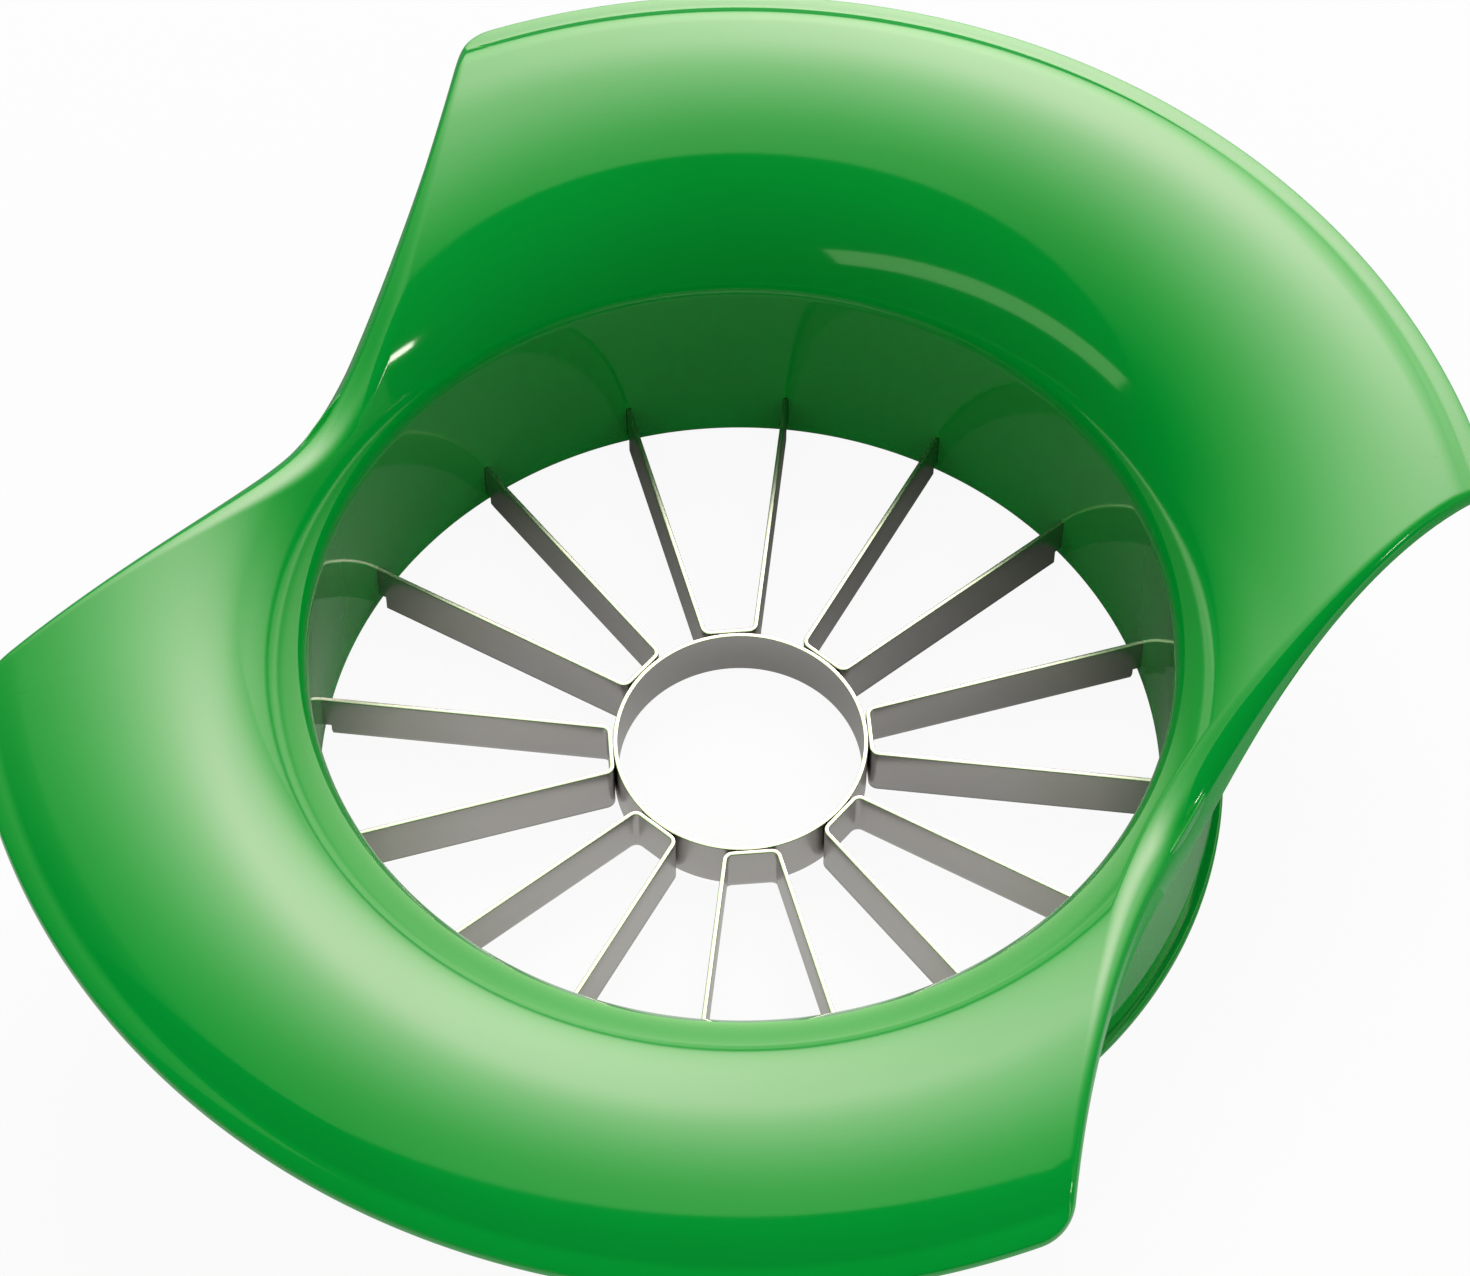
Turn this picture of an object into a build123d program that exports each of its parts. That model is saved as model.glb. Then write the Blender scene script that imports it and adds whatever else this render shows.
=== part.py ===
from build123d import *
import os
from math import asin, cos, degrees, hypot, radians, sin, tan

# Apple slicer: a collar with two wings to press on, and a cutter that makes sixteen wedges and a core.
# Millimetres and degrees. +Z is up, the wings lie along X, and the origin is under the middle of the
# base ring, on the surface that the slicer stands on. Radii are measured from the Z axis.

# --- Overall sizes ------------------------------------------------------------------------------------
opening_radius = 47.0  # the collar's bore, which the apple goes through
crest_height = 41.3  # the highest line of the wings
seat_height = 2.5  # where the collar wall and the blade ends stand on the base ring

# --- Cutter: strips on edge, folded in pairs round a core ring ------------------------------------------
wedge_count = 16
strip_thickness = 0.5
blade_bottom = 0.3
blade_top = 7.5
bend_radius = 0.9  # to the middle of the strip
bevel_height = 1.1
edge_land = 0.12  # flat left at a sharpened edge
core_radius = 13.65
core_bevel_height = 0.6
notch_depth = 0.8  # how far short of the bore each blade end stops below the seat

# --- Handle shell: collar wall, flared plate and skirt in one moulding -----------------------------------
collar_wall = 2.4
flare_radius = 27.5  # one arc from the lip over the crest to the rim
lip_slope = 58.3  # how steeply the flare leaves the collar wall
rim_slope = 23.1  # how steeply it falls at the rim
plate_thickness = 2.6
waist_overhang = 0.4  # plate beyond the skirt at the narrowest place
scoop_radius = 120.0
wing_corner_radius = 5.5
top_edge_radius = 1.4
under_edge_radius = 0.5
lip_radius = 0.8
groove_width = 1.6
skirt_wall = 1.8
skirt_draft = 0.6  # how far the skirt leans in from its foot to its top

# --- Base ring: closes the slots from below, with a rib that goes up into the groove -----------------------
foot_band = 0.9  # how far the foot stands out past the skirt
foot_height = 4.6
foot_band_height = 1.2
foot_slope_width = 2.5  # how far the foot draws in from its band to the face it stands on
foot_edge_radius = 0.4
bore_chamfer = 1.2
rib_height = 4.9  # above the foot's ledge

# --- Clearances -----------------------------------------------------------------------------------------
slot_gap = 0.05  # each side of a strip, and above it
tang_gap = 0.2  # between a blade's end and the outside of the collar wall
weld_gap = 0.02  # between the core ring and the strips welded to it
rib_inner_gap = 0.2
rib_outer_gap = 0.15
seam_gap = 0.15  # between the skirt and the foot's ledge
pick_tolerance = 0.1  # for choosing faces and edges by their size or place

# --- Derived sizes and places -----------------------------------------------------------------------------
wedge_angle = 360 / wedge_count
half_wedge = radians(wedge_angle / 2)
pair_count = wedge_count // 2
bevel_depth = strip_thickness - edge_land
core_outer_radius = core_radius + strip_thickness
web_distance = core_outer_radius + weld_gap + strip_thickness / 2
collar_outer_radius = opening_radius + collar_wall
tang_end_radius = collar_outer_radius - tang_gap
notch_radius = opening_radius - notch_depth

skirt_inner_radius = collar_outer_radius + groove_width
skirt_radius = skirt_inner_radius + skirt_wall
skirt_top_radius = skirt_radius - skirt_draft
skirt_bottom = foot_height + seam_gap
crest_radius = opening_radius + flare_radius * sin(radians(lip_slope))
rim_radius = crest_radius + flare_radius * sin(radians(rim_slope))
flare_center_height = crest_height - flare_radius
under_flare_radius = flare_radius - plate_thickness
waist_half_width = skirt_radius + waist_overhang
scoop_center = waist_half_width + scoop_radius
trim_slope = rim_slope + 7  # the section runs past the rim, and the plan outline trims it

foot_radius = skirt_radius + foot_band
foot_face_radius = foot_radius - foot_slope_width
rib_inner_radius = collar_outer_radius + rib_inner_gap
rib_outer_radius = skirt_inner_radius - rib_outer_gap
rib_top = foot_height + rib_height


def flare_point(slope, arc_radius):
    """Radius and height of the point where an arc about the flare's centre has a given slope."""
    return (
        crest_radius + arc_radius * sin(radians(slope)),
        flare_center_height + arc_radius * cos(radians(slope)),
    )


def flare_slope(radius, arc_radius):
    """Slope of such an arc at a given radius: positive where it falls away outward."""
    return degrees(asin((radius - crest_radius) / arc_radius))


def plate_faces(shell, arc_radius):
    """The faces that one arc of the shell's section has made."""
    return shell.faces().filter_by(GeomType.TORUS).filter_by(
        lambda face: abs(face.radii[1] - arc_radius) < pick_tolerance
    )


def is_outside_skirt(edge):
    """True for the edges that run round the wings and the waists."""
    points = [edge @ share for share in (0, 0.5, 1)]
    return min(hypot(point.X, point.Y) for point in points) > skirt_radius


def save(builder, name):
    """Label a finished piece and write it to its own file."""
    builder.part.label = name
    export_step(builder.part, f"parts/{name}.step")


os.makedirs("parts", exist_ok=True)

# --- Handle shell -----------------------------------------------------------------------------------------
lip = flare_point(-lip_slope, flare_radius)
skirt_top = flare_point(flare_slope(skirt_top_radius, under_flare_radius), under_flare_radius)
groove_top = flare_point(flare_slope(collar_outer_radius, under_flare_radius), under_flare_radius)[1]

with BuildPart() as handle_shell:
    with BuildSketch(Plane.XZ):
        with BuildLine():
            plate_end = flare_point(trim_slope, flare_radius)
            under_end = flare_point(trim_slope, under_flare_radius)
            Line((opening_radius, seat_height), lip)
            ThreePointArc(lip, flare_point(0, flare_radius), plate_end)
            Line(plate_end, under_end)
            ThreePointArc(under_end, flare_point(0, under_flare_radius), skirt_top)
            Polyline(
                skirt_top,
                (skirt_radius, skirt_bottom),
                (skirt_inner_radius, skirt_bottom),
                (skirt_inner_radius, groove_top),
                (collar_outer_radius, groove_top),
                (collar_outer_radius, seat_height),
                (opening_radius, seat_height),
            )
        make_face()
    revolve(axis=Axis.Z)

    # Seen from above, the plate is a disc with a shallow scoop out of each long side.
    with BuildSketch(Plane.XY) as plan:
        Circle(rim_radius)
        with Locations((0, scoop_center), (0, -scoop_center)):
            Circle(scoop_radius, mode=Mode.SUBTRACT)
        fillet(plan.vertices(), wing_corner_radius)
    extrude(amount=crest_height + plate_thickness, mode=Mode.INTERSECT)

    # The plate's edge is well rounded above and eased below.
    for arc_radius, edge_radius in (
        (flare_radius, top_edge_radius),
        (under_flare_radius, under_edge_radius),
    ):
        outline_edges = plate_faces(handle_shell, arc_radius).edges().filter_by(is_outside_skirt)
        fillet(outline_edges, edge_radius)

    # The lip, where the collar wall turns into the flare, is eased.
    lip_edges = handle_shell.edges().filter_by(GeomType.CIRCLE).filter_by_position(
        Axis.Z, lip[1] - pick_tolerance, lip[1] + pick_tolerance
    )
    fillet(lip_edges, lip_radius)

    # One slot for each blade end, open at the bottom of the collar wall.
    with BuildSketch(Plane.XY.offset(seat_height)):
        with PolarLocations(opening_radius + collar_wall / 2, wedge_count):
            Rectangle(2 * collar_wall, strip_thickness + 2 * slot_gap)
    extrude(amount=blade_top + slot_gap - seat_height, mode=Mode.SUBTRACT)
save(handle_shell, "handle_shell")

# --- Base ring --------------------------------------------------------------------------------------------
with BuildPart() as base_ring:
    with BuildSketch(Plane.XZ) as ring_section:
        with BuildLine():
            Polyline(
                (opening_radius, seat_height),
                (opening_radius, bore_chamfer),
                (opening_radius + bore_chamfer, 0),
                (foot_face_radius, 0),
                (foot_radius, foot_height - foot_band_height),
                (foot_radius, foot_height),
                (rib_outer_radius, foot_height),
                (rib_outer_radius, rib_top),
                (rib_inner_radius, rib_top),
                (rib_inner_radius, seat_height),
                close=True,
            )
        make_face()
        fillet(ring_section.vertices().group_by(Axis.X)[-1], foot_edge_radius)
    revolve(axis=Axis.Z)
save(base_ring, "base_ring")

# --- Core ring: the corer, sharpened from its inside -------------------------------------------------------
with BuildPart() as core_ring:
    with BuildSketch(Plane.XZ):
        with BuildLine():
            Polyline(
                (core_radius, blade_bottom + core_bevel_height),
                (core_radius + bevel_depth, blade_bottom),
                (core_outer_radius, blade_bottom),
                (core_outer_radius, blade_top),
                (core_radius, blade_top),
                close=True,
            )
        make_face()
    revolve(axis=Axis.Z)
save(core_ring, "core_ring")

# --- Blade pairs: each strip is folded into a U, two blades with a web between them --------------------
# The U's own X axis runs out between its two blades.
web_corner = (web_distance, web_distance * tan(half_wedge))
blade_end = (tang_end_radius * cos(half_wedge), tang_end_radius * sin(half_wedge))
blade_middle = Vector((web_distance + opening_radius) / 2, 0, (blade_bottom + blade_top) / 2)

for pair in range(pair_count):
    pair_plane = Plane.XY.rotated((0, 0, (2 * pair + 1.5) * wedge_angle))
    with BuildPart() as blade_pair:
        with BuildSketch(pair_plane.offset(blade_bottom)):
            with BuildLine():
                FilletPolyline(
                    blade_end,
                    web_corner,
                    (web_corner[0], -web_corner[1]),
                    (blade_end[0], -blade_end[1]),
                    radius=bend_radius,
                )
            trace(line_width=strip_thickness)
        extrude(amount=blade_top - blade_bottom)

        # The lower edge is sharpened by one bevel, on the side that faces the middle of the U.
        middle = pair_plane.from_local_coords(blade_middle)
        inner_faces = blade_pair.faces().filter_by(
            lambda face: face.normal_at().dot(middle - face.center()) > 0
        )
        chamfer(
            inner_faces.edges().group_by(Axis.Z)[0],
            length=bevel_depth,
            length2=bevel_height,
            reference=blade_pair.faces().sort_by(Axis.Z)[0],
        )

        # Below the seat, the blade ends are notched back from the bore.
        with BuildSketch(Plane.XY.offset(blade_bottom)):
            Circle(collar_outer_radius)
            Circle(notch_radius, mode=Mode.SUBTRACT)
        extrude(amount=seat_height - blade_bottom, mode=Mode.SUBTRACT)
    save(blade_pair, f"blade_pair_{pair + 1}")
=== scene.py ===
import math

import bmesh
import bpy
from mathutils import Matrix, Vector


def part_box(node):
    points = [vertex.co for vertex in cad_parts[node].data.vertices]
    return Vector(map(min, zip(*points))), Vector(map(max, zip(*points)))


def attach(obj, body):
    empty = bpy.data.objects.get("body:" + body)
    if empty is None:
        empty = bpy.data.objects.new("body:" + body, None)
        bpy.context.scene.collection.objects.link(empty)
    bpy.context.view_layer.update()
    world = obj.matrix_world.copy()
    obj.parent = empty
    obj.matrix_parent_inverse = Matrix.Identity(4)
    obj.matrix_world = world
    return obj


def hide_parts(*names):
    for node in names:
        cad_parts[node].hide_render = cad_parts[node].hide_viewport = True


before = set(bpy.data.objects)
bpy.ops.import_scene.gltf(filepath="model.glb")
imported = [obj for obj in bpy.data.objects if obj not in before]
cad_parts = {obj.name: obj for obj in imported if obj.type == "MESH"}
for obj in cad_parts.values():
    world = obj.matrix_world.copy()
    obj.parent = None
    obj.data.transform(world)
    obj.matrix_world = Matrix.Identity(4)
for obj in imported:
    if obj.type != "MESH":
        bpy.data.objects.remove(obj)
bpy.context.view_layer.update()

# Apple slicer: a glossy green moulded body round a stainless cutter. Sizes are in millimetres and angles
# in degrees, in the frame of the CAD model: the wings lie along X and +Z is up. MM turns them into metres.
MM = 0.001

# --- Sizes read from the frame ------------------------------------------------------------------------
shell_low, shell_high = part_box("handle_shell")
base_low, base_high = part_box("base_ring")
core_low, core_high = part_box("core_ring")
CREST_HEIGHT = shell_high.z / MM
RIM_RADIUS = shell_high.x / MM
SEAT_HEIGHT = shell_low.z / MM
FOOT_RADIUS = base_high.x / MM
RIB_TOP = base_high.z / MM
BLADE_TOP = core_high.z / MM
BLADE_BOTTOM = core_low.z / MM
CORE_OUTER = core_high.x / MM
BLADE_PAIRS = sorted(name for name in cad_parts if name.startswith("blade_pair_"))

# --- Sizes of the handle shell --------------------------------------------------------------------------
OPENING = 47.0
COLLAR_WALL = 2.4
CREST_RADIUS = 69.6
# the flare from the crest in to the lip: radius of each arc, and the slope at which it ends
FLARE_ARCS = ((30.0, 30.0), (21.0, 60.0))
LIP_ARC = 4.4
PLATE = 2.6
SCOOP_RADIUS = 127.0
CORNER_RADIUS = 5.5
GROOVE = 1.6
SKIRT_WALL = 1.8
SKIRT_DRAFT = 0.6
WAIST_OVERHANG = 0.95
SKIRT_BOTTOM = 4.75
STRIP = 0.5
SLOT_GAP = 0.05
BLADES = 2 * len(BLADE_PAIRS)
WEDGE = 360 / BLADES

COLLAR_OUTER = OPENING + COLLAR_WALL
SKIRT_INNER = COLLAR_OUTER + GROOVE
SKIRT_FOOT = SKIRT_INNER + SKIRT_WALL
SKIRT_TOP = SKIRT_FOOT - SKIRT_DRAFT
WAIST = SKIRT_FOOT + WAIST_OVERHANG
SCOOP_CENTER = WAIST + SCOOP_RADIUS
SLOT_TOP = BLADE_TOP + SLOT_GAP


# --- Small geometry helpers -----------------------------------------------------------------------------
MERGE_DISTANCE = 0.0005
PLASTIC_SHARP, STEEL_SHARP = 35, 50  # edges that turn by more than this are shaded sharp


def polar(radius, angle):
    """A plan point at a radius and an angle in degrees."""
    return Vector((radius * math.cos(math.radians(angle)), radius * math.sin(math.radians(angle))))


def turned(section, angle):
    """A section's (radius, height) points as (x, y, height), at an angle about Z."""
    return [(*polar(radius, angle), height) for radius, height in section]


def spread(first, last, count):
    """count values from first to last, both included."""
    return [first + (last - first) * i / (count - 1) for i in range(count)]


def smooth_rise(value, first, last):
    """0 up to first, 1 from last on, and smooth between them."""
    share = min(1.0, max(0.0, (value - first) / (last - first)))
    return share * share * (3 - 2 * share)


def on_arc(center, arc, slope):
    """Point where an arc that falls towards smaller x has a given slope in degrees."""
    tilt = math.radians(slope)
    return center + arc * Vector((-math.sin(tilt), math.cos(tilt)))


def arc_blend(start, corner, end, count):
    """Points after start up to end on a round curve that leaves and arrives along the two sides."""
    start, corner, end = Vector(start), Vector(corner), Vector(end)
    weight = math.cos((corner - start).angle(end - corner) / 2)
    points = []
    for t in spread(0, 1, count + 1)[1:]:
        a, b, c = (1 - t) ** 2, 2 * weight * t * (1 - t), t * t
        points.append((a * start + b * corner + c * end) / (a + b + c))
    return points


def rounded_section(corners, steps):
    """A closed section from (radius, height, rounding). The rounding takes that length of both its sides."""
    places = [Vector(corner[:2]) for corner in corners]
    section = []
    for i, place in enumerate(places):
        size = corners[i][2]
        if not size:
            section.append(place)
            continue
        before = place + (places[i - 1] - place).normalized() * size
        after = place + (places[(i + 1) % len(places)] - place).normalized() * size
        section += [before] + arc_blend(before, place, after, steps)
    return section


def new_object(name, mesh):
    piece = bpy.data.objects.new(name, mesh)
    bpy.context.scene.collection.objects.link(piece)
    return piece


def finish_mesh(name, bm, sharp_angle):
    """Turns a bmesh in millimetres into an object in metres, shaded smooth up to the sharp angle."""
    bmesh.ops.remove_doubles(bm, verts=bm.verts, dist=MERGE_DISTANCE)
    bmesh.ops.recalc_face_normals(bm, faces=bm.faces)
    bmesh.ops.scale(bm, verts=bm.verts, vec=(MM, MM, MM))
    for face in bm.faces:
        face.smooth = True
    for edge in bm.edges:
        if len(edge.link_faces) == 2:
            edge.smooth = edge.calc_face_angle(0) < math.radians(sharp_angle)
    mesh = bpy.data.meshes.new(name)
    bm.to_mesh(mesh)
    bm.free()
    return new_object(name, mesh)


def add_grid(bm, columns, skip=None):
    """Joins closed columns of points into quads, round and round. skip(column, row) leaves a quad out."""
    grid = [[bm.verts.new(point) for point in column] for column in columns]
    rows = len(columns[0])
    for j, column in enumerate(grid):
        other = grid[(j + 1) % len(grid)]
        for i in range(rows):
            if skip and skip(j, i):
                continue
            k = (i + 1) % rows
            bm.faces.new((column[i], other[i], other[k], column[k]))
    return grid


def revolve(name, section, columns, sharp_angle):
    """A closed section of (radius, height) points, turned about Z."""
    bm = bmesh.new()
    add_grid(bm, [turned(section, 360 * j / columns) for j in range(columns)])
    return finish_mesh(name, bm, sharp_angle)


# --- Handle shell: flare and outline --------------------------------------------------------------------
def flare_centers():
    """Centres of the flare's arcs, then of the lip's arc. Each arc leaves the one before it smoothly."""
    centers = [Vector((CREST_RADIUS, CREST_HEIGHT - FLARE_ARCS[0][0]))]
    next_arcs = [arc for arc, slope in FLARE_ARCS[1:]] + [LIP_ARC]
    for (arc, slope), next_arc in zip(FLARE_ARCS, next_arcs):
        centers.append(on_arc(centers[-1], arc - next_arc, slope))
    return centers


FLARE_CENTERS = flare_centers()
LIP_CENTER = FLARE_CENTERS[-1]
LIP_SLOPE = FLARE_ARCS[-1][1]


def flare_height(radius, depth=0.0):
    """Height of the flare, or of the surface that lies a given depth under it."""
    for (arc, slope), center in zip(FLARE_ARCS, FLARE_CENTERS):
        size = arc - depth
        if radius > on_arc(center, size, slope).x:
            break
    return center.y + math.sqrt(size * size - (radius - center.x) ** 2)


def corner_circle():
    """Centre of the round corner between a wing's rim and a scoop, in the first quadrant."""
    to_axis = RIM_RADIUS - CORNER_RADIUS
    to_scoop = SCOOP_RADIUS + CORNER_RADIUS
    y = (to_axis**2 - to_scoop**2 + SCOOP_CENTER**2) / (2 * SCOOP_CENTER)
    return Vector((math.sqrt(to_axis**2 - y * y), y))


CORNER_CENTER = corner_circle()
SCOOP_AXIS = Vector((0, SCOOP_CENTER))
RIM_END = math.degrees(math.atan2(CORNER_CENTER.y, CORNER_CENTER.x))
SCOOP_TANGENT = SCOOP_AXIS + (CORNER_CENTER - SCOOP_AXIS).normalized() * SCOOP_RADIUS
SCOOP_END = math.degrees(math.atan2(SCOOP_TANGENT.y, SCOOP_TANGENT.x))


def first_quadrant(angle):
    """The angle from 0 to 90 at which the outline is the same as at this one."""
    across = abs((angle + 180) % 360 - 180)
    return min(across, 180 - across)


def outline(angle):
    """Plan point of the plate's outline at a polar angle, and the outward normal there."""
    first = first_quadrant(angle)
    ray = polar(1, first)
    if first <= RIM_END:
        point, normal = ray * RIM_RADIUS, ray.copy()
    elif first <= SCOOP_END:
        along = ray.dot(CORNER_CENTER)
        point = ray * (along + math.sqrt(along**2 - CORNER_CENTER.length_squared + CORNER_RADIUS**2))
        normal = (point - CORNER_CENTER).normalized()
    else:
        along = ray.dot(SCOOP_AXIS)
        point = ray * (along - math.sqrt(along**2 - SCOOP_CENTER**2 + SCOOP_RADIUS**2))
        normal = (SCOOP_AXIS - point).normalized()
    plan = polar(1, angle)
    sign = Vector((math.copysign(1, plan.x), math.copysign(1, plan.y)))
    return point * sign, normal * sign


# --- Handle shell: edge of the plate --------------------------------------------------------------------
# Along a wing's rim the edge is a fine crease and a flatter lip. Along a scoop it is a round shoulder, tight
# at the corners and broad at the waist. Insets are measured inward from the outline.
EDGE_ZONE = 5.6
EDGE_STEPS = 7
SLOPE_PROBE = 0.05  # inset to each side of the place where a slope is measured
START_TRIES = 12  # rounds of finding where the shoulder leaves the flare

CREASE_IN, CREASE_DEPTH = 2.5, 0.42
CREASE_LEAST = 0.1  # inset at which the crease has run out through a wing's corner
CREASE_REACH = 3.0  # how far inside the crease the flare begins to bend down to it
CREASE_CURVE = 1.5  # power by which it bends
STEP_WIDTH, STEP_SLOPE = 0.4, 18.0  # of the small steep step from the crease down to the lip
RIM_LIP_ARC = 9.0
RIM_LIP_SLOPES = (9.0, 21.0)  # how steeply the lip falls at its start and at its end
RIM_ROUND = 0.7
RIM_UNDERCUT = 0.9  # inset of the underside's end
UNDERCUT_START = 0.1  # share of the way to it at which the undercut has begun
UNDERCUT_ROUND = 0.1

CORNER_SHOULDER = (1.3, 1.3, 86.0)  # inset of its highest line, radius and slope of its fall
WAIST_SHOULDER = (3.2, 2.7, 60.0)
CORNER_THIN = 0.5  # how much thinner the plate is at the wing's edges
UNDER_ROUND = 0.5


def crease_inset(point, normal):
    """How far in from the outline the crease lies. It is a circle, and runs out through the corners."""
    radius = RIM_RADIUS - CREASE_IN
    if point.length <= radius:
        return CREASE_LEAST
    along = point.dot(normal)
    return max(CREASE_LEAST, along - math.sqrt(along**2 - point.length_squared + radius**2))


def edge_top(point, normal, inset):
    """Height of the plate's top at an inset: the flare, bent down a little to the crease."""
    radius = (point - normal * inset).length
    bend = (radius - RIM_RADIUS + CREASE_IN + CREASE_REACH) / CREASE_REACH
    return flare_height(radius) - CREASE_DEPTH * min(1, max(0, bend)) ** CREASE_CURVE


def edge_under(point, normal, inset):
    """Height of the plate's underside at an inset."""
    return flare_height((point - normal * inset).length, PLATE)


def edge_rise(point, normal, inset):
    """Slope of the plate's top in degrees, positive where it climbs towards the edge."""
    climb = edge_top(point, normal, inset - SLOPE_PROBE) - edge_top(point, normal, inset + SLOPE_PROBE)
    return math.degrees(math.atan(climb / (2 * SLOPE_PROBE)))


def edge_run(point, normal, last_inset):
    """Points (inset, height) on the plate's top, from the edge zone's inner side out to an inset."""
    insets = spread(EDGE_ZONE, last_inset, 2 * EDGE_STEPS + 1)
    return [Vector((inset, edge_top(point, normal, inset))) for inset in insets]


def shoulder_points(point, normal, waist):
    """The edge along a scoop, over its round shoulder. waist is 0 at a corner and 1 at the waist."""
    sizes = zip(CORNER_SHOULDER, WAIST_SHOULDER)
    crest_in, radius, fall = (corner + (broad - corner) * waist for corner, broad in sizes)
    start_in = crest_in
    for _ in range(START_TRIES):
        start_in = crest_in + radius * math.sin(math.radians(edge_rise(point, normal, start_in)))
    start_rise = edge_rise(point, normal, start_in)
    start_height = edge_top(point, normal, start_in)
    center = Vector((crest_in, start_height - radius * math.cos(math.radians(start_rise))))
    points = edge_run(point, normal, start_in)
    points += [on_arc(center, radius, slope) for slope in spread(-start_rise, fall, 3 * EDGE_STEPS + 1)[1:]]

    last = points[-1]
    under = edge_under(point, normal, 0)
    outer_height = last.y - last.x * math.tan(math.radians(fall))
    waist_low = min(under, outer_height - 2 * UNDER_ROUND)
    low = under + CORNER_THIN + (waist_low - under - CORNER_THIN) * waist
    heights = (max(outer_height, low + UNDER_ROUND), low + UNDER_ROUND, low)
    return points + [Vector((0, height)) for height in heights]


def rim_points(point, normal, crease_in):
    """The edge along a wing's rim, over the crease and its lip and back in under them."""
    scale = crease_in / CREASE_IN
    points = edge_run(point, normal, crease_in)
    lip_start = points[-1] - scale * STEP_WIDTH * Vector((1, math.tan(math.radians(STEP_SLOPE))))
    first = math.radians(RIM_LIP_SLOPES[0])
    for slope in spread(*RIM_LIP_SLOPES, EDGE_STEPS):
        tilt = math.radians(slope)
        along = Vector((math.sin(first) - math.sin(tilt), math.cos(tilt) - math.cos(first)))
        points.append(lip_start + scale * RIM_LIP_ARC * along)
    lip_end = points[-1]
    tip = Vector((0, lip_end.y - lip_end.x * math.tan(math.radians(RIM_LIP_SLOPES[1]))))
    points += arc_blend(lip_end, tip, tip - Vector((0, RIM_ROUND)), 2 * EDGE_STEPS)
    low = Vector((RIM_UNDERCUT, edge_under(point, normal, RIM_UNDERCUT) + CORNER_THIN))
    before_low = low + Vector((-UNDERCUT_ROUND, UNDER_ROUND))
    return points + [points[-1].lerp(low, UNDERCUT_START), before_low, low]


def plate_edge(angle):
    """Points (inset, height) from the flare over the edge to the underside, at one outline angle."""
    point, normal = outline(angle)
    waist = smooth_rise(first_quadrant(angle), SCOOP_END, 90)
    crease_in = crease_inset(point, normal)
    share = smooth_rise(crease_in, CREASE_LEAST, CREASE_IN)
    pairs = zip(shoulder_points(point, normal, waist), rim_points(point, normal, crease_in))
    points = [plain.lerp(lipped, share) for plain, lipped in pairs]
    low_tip = points.pop()
    return points + arc_blend(points[-1], low_tip, low_tip + Vector((UNDER_ROUND, 0)), EDGE_STEPS)


# --- Handle shell: the moulding -------------------------------------------------------------------------
BAY_COLUMNS = 31  # from one slot to the next
CORNER_COLUMNS = 44  # through each wing corner, and a little past it on both sides
CORNER_PAST_RIM, CORNER_PAST_SCOOP = 1.0, 0.6
SLOT_CLEARANCE = 0.1  # degrees that other columns keep from a slot's sides
ANGLE_DIGITS = 4  # to which columns that fall together count as one
LIP_END = 92.0  # slope where the lip's arc meets the wall, which draws in a little towards the lip
LIP_STEPS = 16
WALL_STEPS = 8
FLARE_STEPS = 58
FLARE_CROWDING = 1.25  # more than 1 puts the steps closer together towards the lip
UNDER_STEPS = 16
SKIRT_STEPS = 6
SKIRT_BLEND = 0.35
SKIRT_EDGE = 0.3
FILLET_STEPS = 4
SKIRT_TIP = Vector((SKIRT_TOP, flare_height(SKIRT_TOP, PLATE)))
UNDER_END = Vector((SKIRT_TOP + SKIRT_BLEND, flare_height(SKIRT_TOP + SKIRT_BLEND, PLATE)))


def shell_angles():
    """Polar angles of the shell's columns, fine at the corners, and those of the slots' sides."""
    half_slot = math.degrees(math.asin((STRIP / 2 + SLOT_GAP) / (OPENING + COLLAR_WALL / 2)))
    slots = [(k * WEDGE + side * half_slot) % 360 for k in range(BLADES) for side in (-1, 1)]
    bay = spread(half_slot, WEDGE - half_slot, BAY_COLUMNS)[1:-1]
    corner = spread(RIM_END - CORNER_PAST_RIM, SCOOP_END + CORNER_PAST_SCOOP, CORNER_COLUMNS)
    angles = [k * WEDGE + a for k in range(BLADES) for a in bay]
    angles += [middle + side * a for middle in (0, 180) for side in (-1, 1) for a in corner]
    angles = {round(a % 360, ANGLE_DIGITS) for a in angles}
    angles = [a for a in angles if min(abs((a - s + 180) % 360 - 180) for s in slots) > SLOT_CLEARANCE]
    return sorted(angles + slots), slots


def wall_and_lip():
    """The section from the foot of the collar's bore up the wall and over the lip."""
    slot_top = Vector((OPENING, SLOT_TOP))
    wall_top = on_arc(LIP_CENTER, LIP_ARC, LIP_END)
    section = [(OPENING, SEAT_HEIGHT)]
    section += [slot_top.lerp(wall_top, share) for share in spread(0, 1, WALL_STEPS)]
    section += [on_arc(LIP_CENTER, LIP_ARC, slope) for slope in spread(LIP_END, LIP_SLOPE, LIP_STEPS)[1:]]
    return section


def flare_points(angle, outer_end):
    """Points on the flare, between the lip and the edge zone."""
    inner_end = polar(on_arc(LIP_CENTER, LIP_ARC, LIP_SLOPE).x, angle)
    points = []
    for share in spread(0, 1, FLARE_STEPS)[1:-1]:
        plan = inner_end.lerp(outer_end, share**FLARE_CROWDING)
        points.append((*plan, flare_height(plan.length)))
    return points


def under_points(angle, edge_plan, edge_height):
    """Points on the underside, from the edge's last point in to the skirt."""
    droop = edge_height - flare_height(edge_plan.length, PLATE)
    root = polar(UNDER_END.x, angle)
    points = []
    for share in spread(0, 1, UNDER_STEPS)[1:]:
        plan = edge_plan.lerp(root, share)
        points.append((*plan, flare_height(plan.length, PLATE) + droop * (1 - share) ** 2))
    return points


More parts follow.
